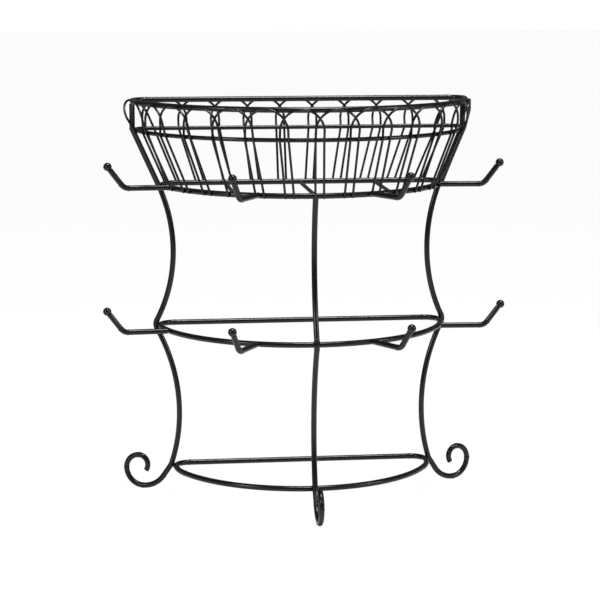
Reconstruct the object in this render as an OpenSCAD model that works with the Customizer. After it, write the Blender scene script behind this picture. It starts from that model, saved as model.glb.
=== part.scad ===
// Coffee station organizer: round-front wire basket on three scroll feet, with eight hooks.
// Origin on the counter under the middle of the footprint, +Z up, front toward -Y, millimetres.

/* [Basket rings] */
// half width of the top rim, wire centre
rim_hw = 182; // [150:1:220]
// depth of the top rim, wire centre
rim_d = 176; // [150:1:210]
// height of the top rim
rim_z = 432; // [400:1:470]
// height of the middle ring
mid_z = 401; // [380:1:440]
// how far the middle ring sits inside the rim
mid_in = 3; // [2:0.5:6]
// half width of the basket's bottom ring
bot_hw = 151; // [130:1:170]
// depth of the bottom ring
bot_d = 144; // [125:1:165]
// height of the bottom ring
bot_z = 342; // [320:1:360]
// how far the bottom ring's back sits in front of the rim's back
bot_back = 13; // [8:1:20]
// bend radius at the back corners
corner_r = 16; // [12:1:20]
// how far the rim sits behind the middle of the footprint
front_shift = 16; // [0:1:30]

/* [Frame rings] */
// half width of the tier ring
tier_hw = 155; // [135:1:170]
// depth of the tier ring
tier_d = 153; // [130:1:165]
// height of the tier ring
tier_z = 187; // [160:1:210]
// how far the tier ring's back sits in front of the rim's back
tier_back = 10; // [6:1:20]
// half width of the base ring
base_hw = 140; // [125:1:160]
// depth of the base ring
base_d = 131; // [120:1:150]
// height of the base ring
base_z = 29.5; // [27:0.5:34]
// how far the base ring's back sits in front of the rim's back
base_back = 18; // [10:1:24]

/* [Wire] */
// diameter of the rim, bottom ring, uprights and hooks
main_d = 6; // [5:0.5:7]
// diameter of the middle ring
mid_wire_d = 4.5; // [3.5:0.5:5.5]
// diameter of the arch wires
arch_d = 2.5; // [2:0.25:3.5]
// diameter of the floor wires
floor_d = 4.2; // [3:0.2:5]
// how deep a weld sets one wire into the next
weld_set = 0.15; // [0.05:0.05:0.3]

/* [Arches] */
// number of arch wires round the basket
arch_n = 25; // [24:1:26]
// gap between the two legs that share a station
pair_gap = 8.8; // [8:0.2:10]
// yaw that carries each arch over its neighbour, degrees
arch_yaw = 3.8; // [3:0.1:5]
// shift of the first station along the middle ring
arch_shift = 1.7; // [0:0.1:3]
// length of leg left below the bottom ring
leg_tail = 2.5; // [1:0.5:4]

/* [Uprights] */
// plan angle of the side uprights from the front, degrees
side_angle = 115; // [112:1:118]
// radius of the tight bend round the tier ring
tier_bend_r = 9; // [8:0.5:11]
// slope just above the tier ring, degrees
tier_up = 29; // [26:1:32]
// slope just below the tier ring, degrees
tier_down = 31; // [28:1:33]

/* [Feet] */
// distance from the base ring contact out to the lowest point
foot_reach = 34; // [32:1:38]
// slope of the straight run into the foot, degrees
foot_slope = 55; // [50:1:60]
// first foot bend radius
foot_r1 = 30; // [27:1:32]
// second foot bend radius
foot_r2 = 19.5; // [18:0.5:21]
// third foot bend radius
foot_r3 = 15; // [14:0.5:16]
// last foot bend radius
foot_r4 = 10.5; // [10:0.5:11.5]

/* [Hooks] */
// run from the ring out to the bend
hook_run = 52; // [45:1:60]
// bend radius of a hook
hook_bend_r = 10; // [8:1:12]
// upward slope of the hook's end, degrees
hook_slope = 53; // [45:1:60]
// length of the sloped end
hook_tip_len = 29; // [24:1:34]
// diameter of the ball tip
ball_d = 9; // [8:0.5:11]
// plan angle of the front hooks, degrees
hook_front_angle = 29; // [24:1:34]
// plan angle of the side hooks, degrees
hook_side_angle = 86; // [80:1:90]
// front hooks: place along the ring from its middle
hook_front_s = 58; // [50:1:66]
// side hooks: place along the ring from its middle
hook_side_s = 178; // [165:1:190]

/* [Basket floor] */
// distance between the floor wires
floor_pitch = 82; // [70:1:90]

/* [Hidden] */
$fn = 24;
mr = main_d / 2;
mw = mid_wire_d / 2;
ar = arch_d / 2;
fr = floor_d / 2;
back_y = rim_d / 2 + front_shift;
knuckle = 1.08;
sides = ["left", "right"];
tips = ["upper_front_left", "upper_front_right", "upper_side_left", "upper_side_right",
    "lower_front_left", "lower_front_right", "lower_side_left", "lower_side_right"];
floors = ["left", "middle", "right"];
arch_ids = [for (i = [1 : arch_n]) str("basket_arch_", i < 10 ? "0" : "", i)];

// ring values: half width, depth, back line, side radius, corner radius, height, wire radius
g_rim = [rim_hw, rim_d, back_y, 0.67 * (rim_d - corner_r), corner_r, rim_z, mr];
g_mid = [rim_hw - mid_in, rim_d - 2 * mid_in, back_y - mid_in, g_rim[3] - mid_in,
    corner_r - mid_in, mid_z, mw];
g_bot = [bot_hw, bot_d, back_y - bot_back, 0.64 * (bot_d - corner_r), corner_r, bot_z, mr];
g_tier = [tier_hw, tier_d, back_y - tier_back, 0.65 * (tier_d - corner_r), corner_r, tier_z, mr];
g_base = [base_hw, base_d, back_y - base_back, 0.65 * (base_d - corner_r), corner_r, base_z, mr];

function ga(g) = g[0] - g[3];
function gb(g) = g[1] - g[4] - g[3];
function rho(g) = (ga(g) * ga(g) + gb(g) * gb(g)) / (2 * gb(g));
function beta(g) = acos(ga(g) / rho(g));
function R1(g) = g[3] + rho(g);
function yc(g) = g[2] - g[4];
function L1(g) = R1(g) * (90 - beta(g)) * PI / 180;
function L2(g) = g[3] * beta(g) * PI / 180;
function L3(g) = g[4] * PI / 2;
function half_len(g) = L1(g) + L2(g) + L3(g) + g[0] - g[4];

// point and outward plan angle at a length along a ring: [x, y, angle from the front]
function on_right(g, s) =
    s <= L1(g) ? let (f = s / R1(g) * 180 / PI)
        [R1(g) * sin(f), yc(g) + rho(g) * sin(beta(g)) - R1(g) * cos(f), f]
    : s <= L1(g) + L2(g) ? let (f = 90 - beta(g) + (s - L1(g)) / g[3] * 180 / PI)
        [ga(g) + g[3] * sin(f), yc(g) - g[3] * cos(f), f]
    : s <= L1(g) + L2(g) + L3(g) ? let (f = 90 + (s - L1(g) - L2(g)) / g[4] * 180 / PI)
        [g[0] - g[4] + g[4] * sin(f), yc(g) - g[4] * cos(f), f]
    : [g[0] - g[4] - (s - L1(g) - L2(g) - L3(g)), g[2], 180];
function on_ring(g, s) = let (t = s > half_len(g) ? s - 2 * half_len(g) : s,
    p = on_right(g, abs(t))) t < 0 ? [-p[0], p[1], -p[2]] : p;
function out(p, off, z) = [p[0] + off * sin(p[2]), p[1] - off * cos(p[2]), z];
function unit(v) = v / norm(v);

module arc_wire(R, sweep, r) {
    rotate_extrude(angle = sweep) translate([R, 0]) circle(r);
}

// straight wire from p to q
module rod(p, q, r) {
    v = q - p;
    translate(p) rotate([0, acos(v[2] / norm(v)), atan2(v[1], v[0])]) cylinder(h = norm(v), r = r);
}

// small bead where two pieces of an arch wire meet
module arch_bead(p) {
    translate(p) rotate([33, 47, 0]) sphere(ar * 1.04);
}

module bead(p, r) {
    translate(p) rotate([21, 67, 0]) sphere(r * knuckle);
}

module half_ring(g) {
    b = beta(g);
    j = [ga(g) + g[3] * cos(b), yc(g) - g[3] * sin(b), 0];
    translate([ga(g), yc(g), 0]) rotate([0, 0, -b]) arc_wire(g[3], b, g[6]);
    translate([g[0] - g[4], yc(g), 0]) arc_wire(g[4], 90, g[6]);
    bead(j, g[6]);
    bead([g[0], yc(g), 0], g[6]);
    bead([g[0] - g[4], g[2], 0], g[6]);
}

// one closed ring: curved front, curved sides, tight back corners, straight back
module ring(g) {
    b = beta(g);
    translate([0, 0, g[5]]) {
        translate([0, yc(g) + rho(g) * sin(b), 0]) rotate([0, 0, 180 + b]) arc_wire(R1(g), 180 - 2 * b, g[6]);
        half_ring(g);
        mirror([1, 0, 0]) half_ring(g);
        rod([-(g[0] - g[4]), g[2], 0], [g[0] - g[4], g[2], 0], g[6]);
    }
}

// arch wires
function st(g, i, sh) = sh + i * 2 * half_len(g) / arch_n;
module arch(i) {
    s1 = st(g_mid, i, arch_shift) - pair_gap / 2;
    s2 = st(g_mid, i + 1, arch_shift) + pair_gap / 2;
    u1 = st(g_bot, i, 2 * arch_shift) - pair_gap / 2;
    u2 = st(g_bot, i + 1, 2 * arch_shift) + pair_gap / 2;
    p1 = out(on_ring(g_mid, s1), mw + ar - weld_set, mid_z);
    p2 = out(on_ring(g_mid, s2), mw + ar - weld_set, mid_z);
    b1 = out(on_ring(g_bot, u1), (mr + ar) * 1.09 - weld_set, bot_z);
    b2 = out(on_ring(g_bot, u2), (mr + ar) * 1.09 - weld_set, bot_z);
    c1 = b1 + unit(b1 - p1) * leg_tail;
    c2 = b2 + unit(b2 - p2) * leg_tail;
    top = out(on_ring(g_mid, (s1 + s2) / 2), mid_in + mr + ar, rim_z + 0.5);
    R = norm(p2 - p1) / 2;
    ch = p2 - p1;
    yaw = atan2(ch[1], ch[0]) - arch_yaw;
    m = (p1 + p2) / 2;
    n = [sin(yaw), -cos(yaw), 0];
    lean = atan(((top - m) * n) / (rim_z - mid_z));
    cz = top - R * [n[0] * sin(lean), n[1] * sin(lean), cos(lean)];
    e = [cos(yaw), sin(yaw), 0];
    translate(cz) rotate([0, 0, yaw]) rotate([lean, 0, 0]) rotate([90, 0, 0]) arc_wire(R, 180, ar);
    rod(p1, cz - R * e, ar);
    rod(p2, cz + R * e, ar);
    rod(c1, p1, ar);
    rod(c2, p2, ar);
    arch_bead(cz - R * e);
    arch_bead(cz + R * e);
    arch_bead(p1);
    arch_bead(p2);
}

// upright: arcs in one vertical plane, t outward and z up
// arc from heading h0 to h1 with its centre at [t, z]; headings are angles of the radius
module plane_arc(c, R, a0, a1) {
    translate([c[0], 0, c[1]]) rotate([90, 0, 0]) rotate([0, 0, a0]) arc_wire(R, a1 - a0, mr);
}
module plane_rod(p, q) {
    rod([p[0], 0, p[1]], [q[0], 0, q[1]], mr);
}
module plane_bead(p) {
    bead([p[0], 0, p[1]], mr);
}

// shallow arc between two points, bowed inward; slope at p is a degrees
module bow(p, q, a) {
    v = q - p;
    gam = atan(v[0] / v[1]);
    half = gam + a;
    R = norm(v) / (2 * sin(half));
    c = p + R * [cos(a), sin(a)];
    plane_arc(c, R, 180 + a - 2 * half, 180 + a);
}

module upright_path(tb, tt, ts) {
    ct = [tt - tier_bend_r, tier_z];
    up = ct + tier_bend_r * [cos(tier_up), sin(tier_up)];
    dn = ct + tier_bend_r * [cos(tier_down), -sin(tier_down)];
    pb = [tb, bot_z];
    ps = [ts, base_z];
    lo = [ts + foot_reach, mr * knuckle];
    c1 = lo + [0, foot_r1];
    f1 = c1 + foot_r1 * [-sin(foot_slope), -cos(foot_slope)];
    c2 = lo + [0, foot_r2];
    c3 = c2 + [foot_r2 - foot_r3, 0];
    c4 = c3 + [0, foot_r3 - foot_r4];
    plane_arc(ct, tier_bend_r, -tier_down, tier_up);
    bow(up, pb, tier_up);

    mirror_bow(dn, ps);
    plane_rod(ps, f1);
    plane_arc(c1, foot_r1, 270 - foot_slope, 270);
    plane_arc(c2, foot_r2, 270, 360);
    plane_arc(c3, foot_r3, 0, 90);
    plane_arc(c4, foot_r4, 90, 215);
    for (k = [up, dn, ps, f1, lo, c2 + [foot_r2, 0], c3 + [0, foot_r3]]) plane_bead(k);
}

// shallow arc below the tier ring, slope at the top is tier_down
module mirror_bow(p, q) {
    v = p - q;
    gam = atan(v[0] / v[1]);
    half = tier_down - gam;
    R = norm(v) / (2 * sin(half));
    c = p + R * [cos(tier_down), -sin(tier_down)];
    plane_arc(c, R, 180 - tier_down, 180 - tier_down + 2 * half);
}

// place along the side plane where a ring's corner meets it
nx = sin(side_angle);
ny = -cos(side_angle);
function plane_t(g, off) = let (dx = (g[0] - g[4]) - (rim_hw - corner_r), dy = yc(g) - yc(g_rim),
    al = dx * nx + dy * ny, cr = nx * dy - ny * dx) al + sqrt(pow(g[4] + off, 2) - cr * cr);
touch = 2 * mr - weld_set;
t_rim = plane_t(g_mid, mw + mr - weld_set);
t_bot = plane_t(g_bot, touch * 1.1);
t_tier = plane_t(g_tier, touch);
t_base = plane_t(g_base, touch * 1.1);

module side_upright() {
    translate([rim_hw - corner_r, yc(g_rim), 0]) rotate([0, 0, side_angle - 90]) {
        upright_path(t_bot, t_tier, t_base);
        plane_rod([t_bot, bot_z], [t_rim, mid_z]);
        plane_rod([t_rim, mid_z], [t_rim, rim_z - mr + weld_set - 0.6]);
        plane_bead([t_bot, bot_z]);
        plane_bead([t_rim, mid_z]);
    }
}

module front_upright() {
    f = yc(g_rim);
    t0 = [for (g = [g_bot, g_tier, g_base]) g[1] - g[2]];
    rotate([0, 0, -90]) {
        upright_path(t0[0], t0[1] + touch, t0[2] + touch * 1.1);
    }
}

// hook: short run out, bend, sloped end
function hook_ring(k) = k < 4 ? g_bot : g_tier;
function hook_at(k) = on_ring(hook_ring(k), (k % 2 == 0 ? -1 : 1) * (k % 4 < 2 ? hook_front_s : hook_side_s)
    * (hook_ring(k)[0] / bot_hw));
function hook_yaw(k) = (k % 2 == 0 ? -1 : 1) * (k % 4 < 2 ? hook_front_angle : hook_side_angle);
tang = hook_bend_r * tan(hook_slope / 2);
module hook_frame(k) {
    p = hook_at(k);
    translate([p[0], p[1], hook_ring(k)[5] + 1]) rotate([0, 0, hook_yaw(k) - 90]) children();
}
module hook(k) {
    e = [hook_run - tang, 0];
    f = [hook_run + tang * cos(hook_slope), tang * sin(hook_slope)];
    tip = [hook_run + hook_tip_len * cos(hook_slope), hook_tip_len * sin(hook_slope)];
    hook_frame(k) {
        plane_rod([2 * mr - 1, 0], e);
        plane_arc([e[0], hook_bend_r], hook_bend_r, 270, 270 + hook_slope);
        plane_rod(f, tip - (ball_d / 2 - 0.3) * [cos(hook_slope), sin(hook_slope)]);
        plane_bead(e);
        plane_bead(f);
    }
}
module ball_tip(k) {
    tip = [hook_run + hook_tip_len * cos(hook_slope), hook_tip_len * sin(hook_slope)];
    hook_frame(k) translate([tip[0], 0, tip[1]]) sphere(ball_d / 2);
}

// floor wires run front to back between the bottom ring's inner faces
module floor_wire(j) {
    x = (j - 1) * floor_pitch;
    yf = yc(g_bot) + rho(g_bot) * sin(beta(g_bot)) - sqrt(pow(R1(g_bot), 2) - x * x);
    rod([x, yf + mr - 0.2, bot_z], [x, g_bot[2] - mr + 0.2, bot_z], fr);
}

color([0.03, 0.03, 0.03]) ring(g_rim);  // basket_rim
color([0.03, 0.03, 0.03]) ring(g_mid);  // basket_middle_ring
color([0.03, 0.03, 0.03]) ring(g_bot);  // basket_bottom_ring
color([0.03, 0.03, 0.03]) ring(g_tier);  // tier_ring
color([0.03, 0.03, 0.03]) ring(g_base);  // base_ring
color([0.03, 0.03, 0.03]) mirror([1, 0, 0]) side_upright();  // upright_left
color([0.03, 0.03, 0.03]) side_upright();  // upright_right
color([0.03, 0.03, 0.03]) front_upright();  // upright_front
for (j = [0 : 2]) {
    color([0.03, 0.03, 0.03]) floor_wire(j);
}
for (k = [0 : 7]) {
    color([0.03, 0.03, 0.03]) hook(k);
    color([0.03, 0.03, 0.03]) ball_tip(k);
}
for (i = [0 : arch_n - 1]) {
    color([0.03, 0.03, 0.03]) arch(i);
}
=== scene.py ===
import bpy, math
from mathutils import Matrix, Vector

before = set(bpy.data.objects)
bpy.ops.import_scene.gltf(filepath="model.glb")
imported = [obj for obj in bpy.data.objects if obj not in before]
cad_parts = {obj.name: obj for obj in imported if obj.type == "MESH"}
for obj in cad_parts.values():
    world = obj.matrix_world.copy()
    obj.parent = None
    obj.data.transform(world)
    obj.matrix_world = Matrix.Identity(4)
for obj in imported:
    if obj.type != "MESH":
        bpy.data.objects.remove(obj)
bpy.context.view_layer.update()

scene = bpy.context.scene

# satin black powder coat: fine grain in the bump, small change in gloss
coat = {
    "dark": (0.0020, 0.0019, 0.0018, 1.0),
    "light": (0.0050, 0.0047, 0.0044, 1.0),
    "grainScale": 900.0,
    "grainDetail": 2.0,
    "mottleScale": 22.0,
    "mottleDetail": 4.0,
    "roughLow": 0.20,
    "roughHigh": 0.30,
    "bump": 0.06,
    "bumpDepth": 0.0002,
    "specular": 0.42,
}


def newGroup(name, inputs, outputs):
    g = bpy.data.node_groups.new(name, "ShaderNodeTree")
    for label, value in inputs:
        s = g.interface.new_socket(label, in_out="INPUT", socket_type="NodeSocketFloat")
        s.default_value = value
    for label in outputs:
        g.interface.new_socket(label, in_out="OUTPUT", socket_type="NodeSocketFloat")
    return g, g.nodes.new("NodeGroupInput"), g.nodes.new("NodeGroupOutput")


def addNoise(tree, detail):
    n = tree.nodes.new("ShaderNodeTexNoise")
    n.inputs["Detail"].default_value = detail
    return n


def coatGroup(spec):
    inputs = [
        ("Mottle Scale", spec["mottleScale"]),
        ("Grain Scale", spec["grainScale"]),
        ("Rough Low", spec["roughLow"]),
        ("Rough High", spec["roughHigh"]),
    ]
    g, gin, gout = newGroup("PowderCoat", inputs, ["Mix", "Roughness", "Height"])
    coord = g.nodes.new("ShaderNodeTexCoord")
    mottle = addNoise(g, spec["mottleDetail"])
    grain = addNoise(g, spec["grainDetail"])
    rough = g.nodes.new("ShaderNodeMapRange")
    for n in (mottle, grain):
        g.links.new(coord.outputs["Object"], n.inputs["Vector"])
    g.links.new(gin.outputs["Mottle Scale"], mottle.inputs["Scale"])
    g.links.new(gin.outputs["Grain Scale"], grain.inputs["Scale"])
    g.links.new(mottle.outputs["Fac"], rough.inputs["Value"])
    g.links.new(gin.outputs["Rough Low"], rough.inputs["To Min"])
    g.links.new(gin.outputs["Rough High"], rough.inputs["To Max"])
    g.links.new(mottle.outputs["Fac"], gout.inputs["Mix"])
    g.links.new(rough.outputs["Result"], gout.inputs["Roughness"])
    g.links.new(grain.outputs["Fac"], gout.inputs["Height"])
    return g


powderCoat = coatGroup(coat)


def coatMaterial(name, spec):
    m = bpy.data.materials.new(name)
    m.use_nodes = True
    t = m.node_tree
    p = t.nodes["Principled BSDF"]
    use = t.nodes.new("ShaderNodeGroup")
    use.node_tree = powderCoat
    mix = t.nodes.new("ShaderNodeMix")
    mix.data_type = "RGBA"
    mix.inputs["A"].default_value = spec["dark"]
    mix.inputs["B"].default_value = spec["light"]
    bump = t.nodes.new("ShaderNodeBump")
    bump.inputs["Strength"].default_value = spec["bump"]
    bump.inputs["Distance"].default_value = spec["bumpDepth"]
    use.inputs["Mottle Scale"].default_value = spec["mottleScale"]
    use.inputs["Grain Scale"].default_value = spec["grainScale"]
    use.inputs["Rough Low"].default_value = spec["roughLow"]
    use.inputs["Rough High"].default_value = spec["roughHigh"]
    t.links.new(use.outputs["Mix"], mix.inputs["Factor"])
    t.links.new(mix.outputs["Result"], p.inputs["Base Color"])
    t.links.new(use.outputs["Roughness"], p.inputs["Roughness"])
    t.links.new(use.outputs["Height"], bump.inputs["Height"])
    t.links.new(bump.outputs["Normal"], p.inputs["Normal"])
    p.inputs["Specular IOR Level"].default_value = spec["specular"]
    return m


blackCoat = coatMaterial("blackPowderCoat", coat)
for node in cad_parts.values():
    node.data.materials.clear()
    node.data.materials.append(blackCoat)
print("frame coated", len(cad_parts))

# pale floor: the camera sees it nearly white, with a faint trace of the shadows
ground = {
    "size": 30,
    "dark": (0.90, 0.90, 0.90, 1),
    "light": (0.94, 0.94, 0.94, 1),
    "mottleScale": 2.0,
    "roughness": 0.8,
    "specular": 0.1,
    "glow": 1.03,
    "glowShare": 0.93,
}


def floorMaterial(name, spec):
    m = bpy.data.materials.new(name)
    m.use_nodes = True
    t = m.node_tree
    p = t.nodes["Principled BSDF"]
    ramp = t.nodes.new("ShaderNodeValToRGB")
    ramp.color_ramp.elements[0].color = spec["dark"]
    ramp.color_ramp.elements[1].color = spec["light"]
    mottle = t.nodes.new("ShaderNodeTexNoise")
    mottle.inputs["Scale"].default_value = spec["mottleScale"]
    glow = t.nodes.new("ShaderNodeEmission")
    glow.inputs["Strength"].default_value = spec["glow"]
    seen = t.nodes.new("ShaderNodeLightPath")
    share = t.nodes.new("ShaderNodeMath")
    share.operation = "MULTIPLY"
    share.inputs[1].default_value = spec["glowShare"]
    blend = t.nodes.new("ShaderNodeMixShader")
    p.inputs["Roughness"].default_value = spec["roughness"]
    p.inputs["Specular IOR Level"].default_value = spec["specular"]
    t.links.new(mottle.outputs["Fac"], ramp.inputs["Fac"])
    t.links.new(ramp.outputs["Color"], p.inputs["Base Color"])
    t.links.new(seen.outputs["Is Camera Ray"], share.inputs[0])
    t.links.new(share.outputs["Value"], blend.inputs["Fac"])
    t.links.new(p.outputs["BSDF"], blend.inputs[1])
    t.links.new(glow.outputs["Emission"], blend.inputs[2])
    t.links.new(blend.outputs["Shader"], t.nodes["Material Output"].inputs["Surface"])
    return m


bpy.ops.mesh.primitive_plane_add(size=ground["size"], location=(0, 0, 0))
floor = bpy.context.object
floor.name = "floor"
floor.data.materials.append(floorMaterial("floorWhite", ground))

# small soft lights, which leave a bright line along the tops of the wires
lightAim = Vector((0, 0, 0.22))
lights = {
    "top": {"place": (0.2, -0.3, 2.2), "size": 0.7, "power": 40},
    "left": {"place": (-1.8, -1.2, 1.3), "size": 0.5, "power": 16},
    "right": {"place": (1.8, -1.0, 1.1), "size": 0.5, "power": 12},
}


def addLight(name, spec):
    data = bpy.data.lights.new(name, "AREA")
    data.size = spec["size"]
    data.energy = spec["power"]
    o = bpy.data.objects.new(name, data)
    scene.collection.objects.link(o)
    o.location = spec["place"]
    o.rotation_euler = (lightAim - Vector(spec["place"])).to_track_quat("-Z", "Y").to_euler()


for name, spec in lights.items():
    addLight(name, spec)

# white to the camera, dim grey to every other ray
studio = {
    "fill": (0.8, 0.8, 0.8, 1),
    "fillStrength": 0.16,
    "backdrop": (1, 1, 1, 1),
    "backdropStrength": 1.0,
}


def addWorld(spec):
    world = bpy.data.worlds.new("studio")
    scene.world = world
    world.use_nodes = True
    t = world.node_tree
    fill = t.nodes["Background"]
    fill.inputs["Color"].default_value = spec["fill"]
    fill.inputs["Strength"].default_value = spec["fillStrength"]
    backdrop = t.nodes.new("ShaderNodeBackground")
    backdrop.inputs["Color"].default_value = spec["backdrop"]
    backdrop.inputs["Strength"].default_value = spec["backdropStrength"]
    pick = t.nodes.new("ShaderNodeMixShader")
    ray = t.nodes.new("ShaderNodeLightPath")
    t.links.new(ray.outputs["Is Camera Ray"], pick.inputs["Fac"])
    t.links.new(fill.outputs["Background"], pick.inputs[1])
    t.links.new(backdrop.outputs["Background"], pick.inputs[2])
    t.links.new(pick.outputs["Shader"], t.nodes["World Output"].inputs["Surface"])


addWorld(studio)
print("stage lit")

# camera placed by a fit to the photograph
shot = {
    "place": (-0.26455, -2.13377, 0.58134),
    "yaw": -6.80,
    "pitch": 9.42,
    "focalPixels": 2044.74,
    "pixels": 600,
    "sensor": 36.0,
}


def addCamera(spec):
    data = bpy.data.cameras.new("cam")
    o = bpy.data.objects.new("cam", data)
    scene.collection.objects.link(o)
    o.location = spec["place"]
    yaw = math.radians(spec["yaw"])
    pitch = math.radians(spec["pitch"])
    level = math.cos(pitch)
    aim = Vector((-math.sin(yaw) * level, math.cos(yaw) * level, -math.sin(pitch)))
    o.rotation_euler = aim.to_track_quat("-Z", "Y").to_euler()
    data.sensor_width = spec["sensor"]
    data.lens = spec["focalPixels"] / spec["pixels"] * spec["sensor"]
    scene.camera = o
    scene.render.resolution_x = spec["pixels"]
    scene.render.resolution_y = spec["pixels"]


addCamera(shot)
scene.view_settings.view_transform = "Standard"
print("camera set")
